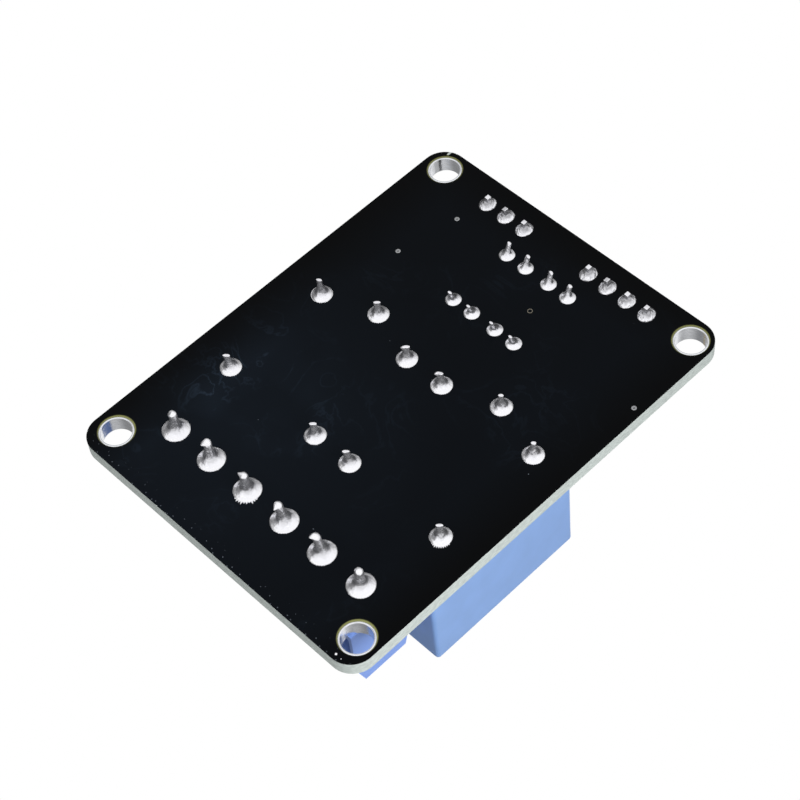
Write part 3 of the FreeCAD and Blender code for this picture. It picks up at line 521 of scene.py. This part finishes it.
class BOARD_OT_finishes(bpy.types.Operator):
    """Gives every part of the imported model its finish"""
    bl_idname = "relay_board.finishes"
    bl_label = "Finish the parts"

    def execute(self, context):
        colours = context.scene.relay_board_colours
        black = tint("17181A")
        tin = tint("D5D6D8")
        # laminate under a photo-imaged solder mask
        give(masked_laminate("glass_epoxy_board_with_solder_mask", colours.mask, colours.edge,
                             colours.opening), "circuit_board")
        # copper plated through the hole and dipped in solder, so bright with soft ripples
        give(plated_metal("tinned_copper_plating", tint("F2F4F8"), 0.2, (0.3 * MM,) * 3,
                          0.03 * MM), "mounting_hole_plating")
        # relay cases of moulded polyester, satin from a fine tool texture
        give(moulded_plastic("moulded_polyester_relay_cover", colours.relay, 0.38, 0.14 * MM,
                             0.006 * MM, specular=0.2), "relay_1_cover", "relay_2_cover")
        give(moulded_plastic("moulded_polyester_relay_base", tint("4B69B4"), 0.5, 0.16 * MM,
                             0.008 * MM), "relay_1_base", "relay_2_base")
        # terminal blocks of moulded nylon, a little glossier and cloudier
        give(moulded_plastic("moulded_nylon_terminal_housing", colours.housing, 0.42, 0.2 * MM,
                             0.01 * MM, 0.06), "terminal_1_housing", "terminal_2_housing")
        # nickel on folded steel strip
        nickel = plated_metal("nickel_plated_steel_strip", tint("CFCFCC"), 0.3,
                              (0.08 * MM, 0.08 * MM, 1.6 * MM), 0.006 * MM)
        # zinc on headed and turned steel screws
        zinc = plated_metal("zinc_plated_turned_steel", tint("D2D3D8"), 0.34,
                            (0.4 * MM, 0.4 * MM, 0.06 * MM), 0.01 * MM, 0.18)
        for block in (1, 2):
            for pole in (1, 2, 3):
                give(nickel, "terminal_%d_guard_%d" % (block, pole))
                give(zinc, "terminal_%d_screw_%d" % (block, pole))
            give(nickel, "terminal_%d_cages" % block)
        # black nylon that holds the header pins, and the same nylon for the jumper cap
        give(moulded_plastic("moulded_black_nylon", black, 0.45, 0.15 * MM, 0.01 * MM, 0.08),
             "header_3_moulding", "header_4_moulding")
        give(moulded_plastic("moulded_black_nylon_cap", tint("1B1C20"), 0.36, 0.12 * MM,
                             0.006 * MM, 0.06), "jumper_cap")
        # brass pins under a flash of gold
        give(plated_metal("gold_flashed_brass", tint("E6C878"), 0.26,
                          (0.1 * MM, 0.1 * MM, 2.0 * MM), 0.004 * MM),
             "header_3_pins", "header_4_pins", "jumper_clip")
        # transfer-moulded epoxy of the optocouplers, matt with a fine filler grain
        give(moulded_plastic("moulded_black_epoxy", tint("1A1B1D"), 0.56, 0.1 * MM, 0.012 * MM,
                             0.06, 0.4), "optocoupler_1_body", "optocoupler_2_body")
        # tinned copper frames
        give(plated_metal("tinned_copper_strip", tin, 0.3, (0.1 * MM, 0.6 * MM, 0.6 * MM),
                          0.006 * MM), "optocoupler_1_leads", "optocoupler_2_leads")
        # inside the relays
        iron = plated_metal("zinc_plated_soft_iron", tint("B9BAB8"), 0.42,
                            (0.1 * MM, 1.5 * MM, 0.1 * MM), 0.008 * MM, 0.2)
        copper_alloy = plated_metal("rolled_copper_alloy", tint("D9A878"), 0.3,
                                    (0.1 * MM, 1.8 * MM, 0.1 * MM), 0.005 * MM)
        nylon = moulded_plastic("moulded_natural_nylon", tint("E6E4DA"), 0.45, 0.2 * MM,
                                0.01 * MM)
        wire = wound_wire("enamelled_copper_winding", tint("C87B4A"))
        tinned = plated_metal("tinned_copper_wire", tin, 0.3, (0.1 * MM, 0.1 * MM, 0.8 * MM),
                              0.006 * MM)
        for relay in ("relay_1_", "relay_2_"):
            give(iron, relay + "yoke", relay + "core", relay + "armature")
            give(copper_alloy, relay + "contact_spring", relay + "fixed_contacts")
            give(nylon, relay + "bobbin")
            give(wire, relay + "winding")
            give(tinned, relay + "coil_leads")
        # surface-mounted parts: moulded or glazed bodies between tinned ends
        for number in (1, 2):
            for node, body, half in (
                    ("indicator_led_%d", tint("EDE8DA"), (0.72 * MM, 2 * MM, 1)),
                    ("transistor_%d", black, (2 * MM, 0.66 * MM, 1)),
                    ("diode_%d", tint("161718"), (1.31 * MM, 2.16 * MM, 1))):
                name = node % number
                give(body_and_ends("moulded_body_of_" + name, body, tin, middle_of(name), half),
                     name)
        low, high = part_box("chip_resistors")
        chips = body_and_ends("glazed_ceramic_chip", tint("1C1C1F"), tin, (low + high) / 2,
                              (0.68 * MM, 1, 1), high.x - low.x - 2.0 * MM)
        give(chips, "chip_resistors")
        return {"FINISHED"}


def give(finish, *nodes):
    """Puts a finish on CAD nodes."""
    for name in nodes:
        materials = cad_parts[name].data.materials
        materials.clear()
        materials.append(finish)


def raise_joint(bm, x, y, rings, angle, lean, seed, lump):
    """Draws a joint out of its rim, ring by ring, and closes it over the clipped lead. The rings
    are measured along and across the given angle, and the upper ones lean."""
    centre = Vector((x * MM, y * MM, 0))
    axis = Matrix.Rotation(math.radians(angle), 4, "Z")
    first = bmesh.ops.create_circle(bm, segments=20, radius=1.0,
                                    matrix=Matrix.Translation(centre) @ axis)
    verts = first["verts"]
    edges = edges_at(verts)
    made = list(verts)
    long, short = 1 / MM, 1 / MM
    bottom = rings[-1][2]
    for number, (new_long, new_short, depth) in enumerate(rings):
        if number:
            grown = bmesh.ops.extrude_edge_only(bm, edges=edges)["geom"]
            verts = [part for part in grown if isinstance(part, bmesh.types.BMVert)]
            fresh = set(verts)
            edges = [part for part in grown if isinstance(part, bmesh.types.BMEdge)
                     and part.verts[0] in fresh and part.verts[1] in fresh]
            made += verts
        space = (Matrix.Translation(centre) @ axis).inverted()
        bmesh.ops.scale(bm, vec=(new_long / long, new_short / short, 1), space=space, verts=verts)
        share = max(0.0, depth / bottom - 0.25) / 0.75
        target = Vector(((x + lean[0] * share) * MM, (y + lean[1] * share) * MM, -depth * MM))
        bmesh.ops.translate(bm, vec=target - centre, verts=verts)
        centre, long, short = target, new_long, new_short
    cap = bmesh.ops.contextual_create(bm, geom=edges)["faces"]
    bmesh.ops.inset_region(bm, faces=cap, thickness=short * 0.4 * MM, depth=0)
    for vert in made:
        if vert.co.z < -0.01 * MM:
            spot = vert.co / (0.7 * MM) + Vector((seed, 0, 0))
            push = noise.noise_vector(spot) * lump
            push.z *= 0.5
            if vert.co.z < -0.8 * bottom * MM:
                push += noise.noise_vector(spot * 3.1) * lump * 0.7
            vert.co += push
    return made


def pull_beak(verts, bottom, direction, reach, droop):
    """Draws the solder at a lead's tip out to one side, as it is left when the lead is nipped."""
    way = Vector((math.cos(math.radians(direction)), math.sin(math.radians(direction))))
    tip = [vert for vert in verts if vert.co.z < -(bottom - 0.4) * MM]
    middle = sum((vert.co for vert in tip), Vector()) / len(tip)
    for vert in tip:
        out = (vert.co - middle).xy
        if out.length > 0:
            pull = max(0.0, out.normalized().dot(way)) ** 6
            height = 1 - abs(vert.co.z + (bottom - 0.17) * MM) / (0.17 * MM)
            pull *= max(0.0, height)
            vert.co.x += way.x * reach * MM * pull
            vert.co.y += way.y * reach * MM * pull
            vert.co.z += droop * MM * pull


class BOARD_OT_solder(bpy.types.Operator):
    """Replaces the plain solder cones with joints as they set round the clipped leads"""
    bl_idname = "relay_board.solder"
    bl_label = "Solder the leads"

    def execute(self, context):
        noise.seed_set(NOISE_SEED)
        lump = context.scene.relay_board_sizes.lump
        bright = wave_solder("frozen_tin_solder", context.scene.relay_board_colours.solder)
        # terminal pins from -X to +X: lean, then direction, reach and droop of the nipped beak
        tips = (((0.04, 0.05), None), ((0.54, -0.05), (-60, 0.46, 0.15)),
                ((0.46, -0.04), (-100, 0.62, 0.4)), ((0.1, 0.0), (-25, 0.45, 0.0)),
                ((0.38, 0.21), (-72, 0.66, 0.35)), ((0.17, 0.18), (-60, 0.15, 0.2)))
        bm = bmesh.new()
        for number, ((x, y), (lean, beak)) in enumerate(zip(places_in("terminal_solder"), tips)):
            verts = raise_joint(bm, x, y, TERMINAL_RINGS, 0, lean, number * 7.3, lump)
            if beak:
                pull_beak(verts, TERMINAL_RINGS[-1][2], *beak)
        self.close(bm, "terminal_joints", bright, "terminal_solder")
        bm = bmesh.new()
        # each relay's five leads from -X to +X: turn of the blade and lean
        nips = ((-42, (0.05, 0.0)), (-42, (0.0, 0.1)), (-42, (0.0, 0.0)), (-42, (0.2, -0.1)),
                (-30, (0.1, 0.0)))
        # blades that differ, by their place in the row: size of the tip, and reach of its beak
        narrow, longer, beaked = (1, 2), 9, (4, 6)
        for number, (x, y) in enumerate(places_in("relay_solder")):
            angle, lean = nips[number % 5]
            rings = RELAY_RINGS
            if number in narrow:
                rings = [(wide * (0.72 if depth > 1 else 1), thin, depth)
                         for wide, thin, depth in rings]
            if number == longer:
                rings = [(wide * (0.8 if depth > 1 else 0.97), thin, depth * 1.17)
                         for wide, thin, depth in rings]
            verts = raise_joint(bm, x, y, rings, angle, lean, 40 + number * 5.7, lump)
            if number in beaked:
                pull_beak(verts, rings[-1][2], -42, 0.3, 0.05)
        self.close(bm, "relay_joints", bright, "relay_solder")
        bm = bmesh.new()
        for number, (x, y) in enumerate(places_in("header_solder")):
            raise_joint(bm, x, y, HEADER_RINGS, 90, (0, 0), 90 + number * 4.1, lump)
        # square pin ends stand out of the header's joints, cut a little unevenly
        pins = bmesh.new()
        for number, (x, y) in enumerate(places_in("header_solder")):
            shape = (Matrix.Translation((x * MM, y * MM, -0.70 * MM))
                     @ Matrix.Rotation(0.2 * math.sin(number * 2.3), 4, "Y")
                     @ Matrix.Diagonal((0.46 * MM, 0.52 * MM, 1.0 * MM, 1)))
            add_block(pins, shape, 0.05 * MM)
        settle(pins, "clipped_header_pins", bright, smooth=False)
        # the header's leads cooled last, so their joints are pitted
        pitted = wave_solder("pitted_tin_solder", context.scene.relay_board_colours.solder,
                             0.24 * MM, 0.4, 0.85)
        self.close(bm, "header_joints", pitted, "header_solder")
        bm = bmesh.new()
        for number, (x, y) in enumerate(places_in("coupler_solder")):
            side = 1 if number % 2 else -1
            raise_joint(bm, x, y, COUPLER_RINGS, 0, (0, side * 0.42), 120 + number * 6.3, lump)
        self.close(bm, "coupler_joints", bright, "coupler_solder")
        return {"FINISHED"}

    def close(self, bm, name, finish, node):
        """Finishes a group of joints, which stands for its CAD node."""
        piece = settle(bm, name, finish)
        rounding = piece.modifiers.new("rounding", "SUBSURF")
        rounding.levels = rounding.render_levels = 2
        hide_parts(node)


class BOARD_OT_trimmed_leads(bpy.types.Operator):
    """Shortens the leads under the board to where the solder has closed over them"""
    bl_idname = "relay_board.trimmed_leads"
    bl_label = "Trim the leads"

    def execute(self, context):
        owners = [("terminal_1_cages", "clamp_cage"), ("terminal_2_cages", "clamp_cage"),
                  ("header_3_pins", "header_pin"), ("header_4_pins", "header_pin"),
                  ("optocoupler_1_leads", "tinned_lead"), ("optocoupler_2_leads", "tinned_lead")]
        for relay in ("relay_1_", "relay_2_"):
            owners += [(relay + "yoke", "soft_iron"), (relay + "coil_leads", "tinned_lead"),
                       (relay + "fixed_contacts", "contact_metal")]
        for node, slot in owners:
            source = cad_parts[node]
            bm = bmesh.new()
            bm.from_mesh(source.data)
            bmesh.ops.remove_doubles(bm, verts=bm.verts, dist=0.001 * MM)
            bmesh.ops.bisect_plane(bm, geom=bm.verts[:] + bm.edges[:] + bm.faces[:],
                                   plane_co=(0, 0, -0.3 * MM), plane_no=(0, 0, -1),
                                   clear_outer=True)
            rims = [edge for edge in bm.edges if edge.is_boundary]
            bmesh.ops.holes_fill(bm, edges=rims, sides=0)
            piece = settle(bm, node + "_trimmed", source.data.materials[0], smooth=False)
            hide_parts(node)
        return {"FINISHED"}


class BOARD_OT_frayed_skirts(bpy.types.Operator):
    """Adds the thin ragged solder that crept out from under each joint"""
    bl_idname = "relay_board.frayed_skirts"
    bl_label = "Fray the joints' edges"

    def execute(self, context):
        bm = bmesh.new()
        number = 0
        for node, radius, frayed in (("terminal_solder", TERMINAL_RIM, FRAYED_TERMINAL),
                                     ("relay_solder", RELAY_RIM, FRAYED_RELAY)):
            for place, (x, y) in enumerate(places_in(node)):
                number += 1
                made = bmesh.ops.create_circle(bm, cap_ends=True, segments=72, radius=1.0,
                                               matrix=Matrix.Translation((x * MM, y * MM, 0)))
                teeth = (0.22 * radius) if place == frayed else 0.06
                for step, vert in enumerate(made["verts"]):
                    way = (vert.co.xy - Vector((x * MM, y * MM))).normalized()
                    # the board left the wave on this side, so the solder is ragged there
                    trail = min(1.0, max(0.0, way.dot(Vector((-0.62, -0.78))) - 0.6) / 0.2)
                    push = 0.7 + noise.noise(Vector((step * 1.7, number * 9.1, 0)))
                    tooth = teeth * trail * push if step % 2 else 0
                    vert.co.xy = Vector((x, y)) * MM + way * (radius - 0.02 + tooth) * MM
                thicken(bm, [made["verts"][0].link_faces[0]], -0.03 * MM)
        # splashes near the corner by the terminals
        for x, y, radius in SPLASHES:
            shape = Matrix.Translation((x * MM, y * MM, 0)) @ Matrix.Diagonal((1, 1, 0.5, 1))
            bmesh.ops.create_icosphere(bm, subdivisions=2, radius=radius * MM, matrix=shape)
        settle(bm, "frayed_skirts", bpy.data.materials["frozen_tin_solder"],
               smooth=False)
        return {"FINISHED"}


def low_ring(bm, centre, radius, width, rise):
    """A flattened half-round ring about an upright line, drawn in the side view and spun."""
    start = Vector(centre) + Vector((radius - width / 2, 0, 0))
    profile = [bm.verts.new(start + Vector((width / 2 * math.cos(math.radians(angle)), 0,
                                            rise * math.sin(math.radians(angle)))))
               for angle in range(0, 181, 30)]
    edges = [bm.edges.new(pair) for pair in zip(profile, profile[1:] + profile[:1])]
    bmesh.ops.spin(bm, geom=profile + edges, cent=centre, axis=(0, 0, 1), angle=math.tau, steps=64,
                   use_merge=True)


class BOARD_OT_land_crowns(bpy.types.Operator):
    """Adds the low rounded crown of tin on each land of the mounting holes"""
    bl_idname = "relay_board.land_crowns"
    bl_label = "Crown the lands"

    def execute(self, context):
        bm = bmesh.new()
        for x, y in places_in("mounting_hole_plating"):
            # the terminals' feet stand on the lands of the holes on their side
            for level, out in ((0.0, -1), (BOARD_TOP, 1))[:1 if y < 0 else 2]:
                low_ring(bm, (x * MM, y * MM, level + out * 0.03 * MM), LAND_RADIUS - 0.005 * MM,
                         0.18 * MM, out * 0.065 * MM)
        settle(bm, "land_crowns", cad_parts["mounting_hole_plating"].data.materials[0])
        return {"FINISHED"}


class BOARD_OT_vias(bpy.types.Operator):
    """Adds the vias, three bare and tinned and one under the mask"""
    bl_idname = "relay_board.vias"
    bl_label = "Add the vias"

    def execute(self, context):
        radius = context.scene.relay_board_sizes.via_radius
        # solder that has gone dull in the open air, and mask that ran thin over a copper ring
        dull = plated_metal("dull_tinned_via", tint("B4B6B8"), 0.4, (0.2 * MM,) * 3, 0.02 * MM, 0.3)
        thin = moulded_plastic("solder_mask_over_copper", tint("6C675C"), 0.25, 0.2 * MM,
                               0.004 * MM)
        # a ring's wall is a share of the radius, wide where solder fills the bore
        for name, places, wall, finish, slot in (
                ("bare_vias", BARE_VIAS, 0.82, dull, "hole_plating"),
                ("covered_via", (COVERED_VIA,), 0.3, thin, "laminate")):
            bm = bmesh.new()
            for x, y in places:
                for level, rise in ((0.0, -0.04 * MM), (BOARD_TOP, 0.04 * MM)):
                    low_ring(bm, (x * MM, y * MM, level), radius, wall * radius, rise)
            settle(bm, name, finish)
        return {"FINISHED"}


class BOARD_OT_printed_lines(bpy.types.Operator):
    """Prints the plain outlines of the parts on the component side"""
    bl_idname = "relay_board.printed_lines"
    bl_label = "Print the outlines"

    def execute(self, context):
        sizes = context.scene.relay_board_sizes
        bm = bmesh.new()
        # the terminals have none, because their feet reach the mounting holes
        for node in ("relay_1_cover", "relay_2_cover", "header_3_moulding", "header_4_moulding",
                     "optocoupler_1_body", "optocoupler_2_body", "indicator_led_1",
                     "indicator_led_2", "diode_1", "diode_2", "transistor_1", "transistor_2"):
            low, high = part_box(node)
            middle = ((low + high) / 2).xy.to_3d()
            middle.z = BOARD_TOP
            half = (high - low) / 2
            shape = Matrix.Translation(middle) @ Matrix.Diagonal(
                (half.x + sizes.line_clearance, half.y + sizes.line_clearance, 1, 1))
            made = bmesh.ops.create_grid(bm, x_segments=1, y_segments=1, size=1.0, matrix=shape)
            face = made["verts"][0].link_faces[0]
            bmesh.ops.inset_region(bm, faces=[face], thickness=sizes.line_width, depth=0,
                                   use_boundary=True)
            bmesh.ops.delete(bm, geom=[face], context="FACES_ONLY")
        thicken(bm, bm.faces[:], 0.02 * MM)
        # screen-printed epoxy ink, matt and slightly uneven in cover
        ink = moulded_plastic("screen_printed_ink", sizes.id_data.relay_board_colours.print_ink,
                              0.65, 0.08 * MM, 0.01 * MM, 0.12)
        settle(bm, "printed_outlines", ink, smooth=False)
        return {"FINISHED"}


class BOARD_OT_surface_pads(bpy.types.Operator):
    """Adds the soldered pads of the surface-mounted parts and the lands on the component side"""
    bl_idname = "relay_board.surface_pads"
    bl_label = "Solder the pads"

    def execute(self, context):
        colours = context.scene.relay_board_colours
        bm = bmesh.new()
        pads = []
        for number in (1, 2):
            for node, reach, size in (("indicator_led_%d", 0.85, (0.55, 0.65)),
                                      ("diode_%d", 2.25, (0.85, 0.5))):
                middle = middle_of(node % number) / MM
                low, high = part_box(node % number)
                along = (1, 0) if high.x - low.x > high.y - low.y else (0, 1)
                for side in (-1, 1):
                    half = size if along == (0, 1) else size[::-1]
                    pads.append((middle.x + side * along[0] * reach,
                                 middle.y + side * along[1] * reach, *half))
            middle = middle_of("transistor_%d" % number) / MM
            pads += [(middle.x - 0.95, middle.y - 1.0, 0.35, 0.42),
                     (middle.x + 0.95, middle.y - 1.0, 0.35, 0.42),
                     (middle.x, middle.y + 1.0, 0.35, 0.42)]
        low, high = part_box("chip_resistors")
        for x in (low.x / MM + 1.0, high.x / MM - 1.0):
            for y in (low.y / MM + 0.625, high.y / MM - 0.625):
                pads += [(x - 1.0, y, 0.42, 0.62), (x + 1.0, y, 0.42, 0.62)]
        for x, y, half_x, half_y in pads:
            shape = Matrix.Translation((x * MM, y * MM, BOARD_TOP + 0.05 * MM)) @ Matrix.Diagonal(
                (2 * half_x * MM, 2 * half_y * MM, 0.1 * MM, 1))
            add_block(bm, shape, 0.045 * MM)
        for x, y in places_in("coupler_solder"):
            shape = Matrix.Translation((x * MM, y * MM, BOARD_TOP + 0.09 * MM))
            bmesh.ops.create_cone(bm, cap_ends=True, segments=28, radius1=0.82 * MM,
                                  radius2=0.45 * MM, depth=0.18 * MM, matrix=shape)
        settle(bm, "component_side_solder", wave_solder("reflowed_tin_solder", colours.solder))
        return {"FINISHED"}


class BOARD_OT_stage(bpy.types.Operator):
    """Sets out the floor, the lamps, the surroundings and the camera"""
    bl_idname = "relay_board.stage"
    bl_label = "Set the stage"

    def execute(self, context):
        setup = context.scene.relay_board_stage
        self.floor()
        self.surroundings(context.scene, setup)
        self.lamp("key_softbox", (-0.88, -0.22, -0.44), 0.1, 0.085, setup.key)
        self.lamp("front_softbox", (0.1, -0.45, -0.89), 0.16, 0.12, setup.front)
        self.lamp("overhead_softbox", (0.12, 0.2, 0.97), 0.42, 0.36, setup.overhead)
        self.camera(context.scene, setup)
        context.scene.view_settings.view_transform = "Standard"
        return {"FINISHED"}

    def floor(self):
        """A pale floor under the lead tips. A camera below it looks through it."""
        finish, tree, place = start_finish("pale_matt_floor")
        grain = cloudy(tree, place, 2 * MM, 3.0)
        rough = remap(tree, grain, 0.0, 1.0, 0.8, 0.95)
        paint = add_node(tree, "BsdfPrincipled", feeds={
            "Base Color": (*tint("F4F4F2"), 1), "Roughness": rough, "Specular IOR Level": 0.1})
        clear = add_node(tree, "BsdfTransparent")
        below = add_node(tree, "NewGeometry").outputs["Backfacing"]
        end_finish(tree, add_node(tree, "MixShader", feeds={0: below, 1: paint, 2: clear}))
        bm = bmesh.new()
        bmesh.ops.create_grid(bm, x_segments=8, y_segments=8, size=3.0,
                              matrix=Matrix.Translation((0, 0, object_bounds()[0].z)))
        mesh = bpy.data.meshes.new("floor")
        bm.to_mesh(mesh)
        bm.free()
        floor = bpy.data.objects.new("floor", mesh)
        mesh.materials.append(finish)
        bpy.context.scene.collection.objects.link(floor)
        floor.visible_shadow = False
        floor.visible_diffuse = False
        floor.visible_glossy = False
        floor.visible_transmission = False
        floor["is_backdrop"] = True

    def surroundings(self, scene, setup):
        """White to the camera, and to metal and gloss a studio with one wide softbox below and
        one above, dim between them."""
        world = bpy.data.worlds.new("studio")
        world.use_nodes = True
        scene.world = world
        tree = world.node_tree
        tree.nodes.clear()
        way = add_node(tree, "TexCoord").outputs["Generated"]
        rays = add_node(tree, "LightPath")
        boxes = []
        for aim, dark, light, dim in (((-0.55, -0.35, -0.76), -0.7, 0.45, 0.15),
                                      ((0.05, 0.35, 0.93), 0.7, 0.98, 0.25)):
            near = vector_math(tree, "DOT_PRODUCT", way, Vector(aim).normalized())
            boxes.append(remap(tree, near, dark, light, dim, 1.0, "SMOOTHSTEP"))
        glow = number_math(tree, "MAXIMUM", *boxes)
        # a black card beside the board draws the dark side of each joint
        beside = vector_math(tree, "DOT_PRODUCT", way, Vector((0.8, -0.58, -0.15)).normalized())
        card = remap(tree, beside, 0.8, 0.94, 1.0, 0.2, "SMOOTHSTEP")
        studio = number_math(tree, "MULTIPLY", glow, card)
        shiny = add_node(tree, "Mix", feeds={"Factor": rays.outputs["Is Glossy Ray"],
                                             "A": setup.ambient, "B": studio})
        seen = number_math(tree, "MAXIMUM", rays.outputs["Is Camera Ray"],
                           rays.outputs["Is Transmission Ray"])
        level = add_node(tree, "Mix", feeds={"Factor": seen, "A": shiny, "B": 1.0})
        air = add_node(tree, "Background", feeds={"Color": (1, 1, 1, 1), "Strength": level})
        add_node(tree, "OutputWorld", feeds={"Surface": air})

    def lamp(self, name, way, distance, size, power):
        """A square softbox that faces the board."""
        data = bpy.data.lights.new(name, "AREA")
        data.shape = "SQUARE"
        data.size = size
        data.energy = power
        lamp = bpy.data.objects.new(name, data)
        way = Vector(way).normalized()
        lamp.location = way * distance
        lamp.rotation_euler = (-way).to_track_quat("-Z", "Y").to_euler()
        lamp.visible_camera = False
        lamp.visible_glossy = False
        bpy.context.scene.collection.objects.link(lamp)

    def camera(self, scene, setup):
        """The camera below the board's corner, as in the photograph."""
        data = bpy.data.cameras.new("camera")
        data.lens = setup.lens
        data.sensor_width = 36
        data.clip_start = 0.005
        data.clip_end = 20
        camera = bpy.data.objects.new("camera", data)
        back = -Vector(setup.camera_aim).normalized()
        side = Vector(setup.camera_up).cross(back).normalized()
        turn = Matrix((side, back.cross(side), back)).transposed().to_4x4()
        camera.matrix_world = Matrix.Translation(setup.camera_place) @ turn
        scene.collection.objects.link(camera)
        scene.camera = camera


class BOARD_PT_panel(bpy.types.Panel):
    """Sizes, colours and steps of the relay board"""
    bl_idname = "BOARD_PT_panel"
    bl_label = "Relay module board"
    bl_space_type = "VIEW_3D"
    bl_region_type = "UI"
    bl_category = "Relay board"

    def draw(self, context):
        scene = context.scene
        for group in (scene.relay_board_colours, scene.relay_board_sizes, scene.relay_board_stage):
            box = self.layout.box()
            for name in group.bl_rna.properties.keys():
                if name not in ("rna_type", "name"):
                    box.prop(group, name)
        for step in STEPS:
            self.layout.operator(step.bl_idname)


STEPS = (BOARD_OT_finishes, BOARD_OT_solder, BOARD_OT_trimmed_leads, BOARD_OT_frayed_skirts,
         BOARD_OT_land_crowns, BOARD_OT_vias, BOARD_OT_printed_lines, BOARD_OT_surface_pads,
         BOARD_OT_stage)
GROUPS = (BoardColours, BoardSizes, StageSetup)


def register():
    for made in (*GROUPS, *STEPS, BOARD_PT_panel):
        bpy.utils.register_class(made)
    bpy.types.Scene.relay_board_colours = PointerProperty(type=BoardColours)
    bpy.types.Scene.relay_board_sizes = PointerProperty(type=BoardSizes)
    bpy.types.Scene.relay_board_stage = PointerProperty(type=StageSetup)


def unregister():
    del bpy.types.Scene.relay_board_stage
    del bpy.types.Scene.relay_board_sizes
    del bpy.types.Scene.relay_board_colours
    for made in reversed((*GROUPS, *STEPS, BOARD_PT_panel)):
        bpy.utils.unregister_class(made)


def main():
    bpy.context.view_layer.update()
    register()
    for step in STEPS:
        group, name = step.bl_idname.split(".")
        getattr(getattr(bpy.ops, group), name)()


if __name__ == "__main__":
    main()
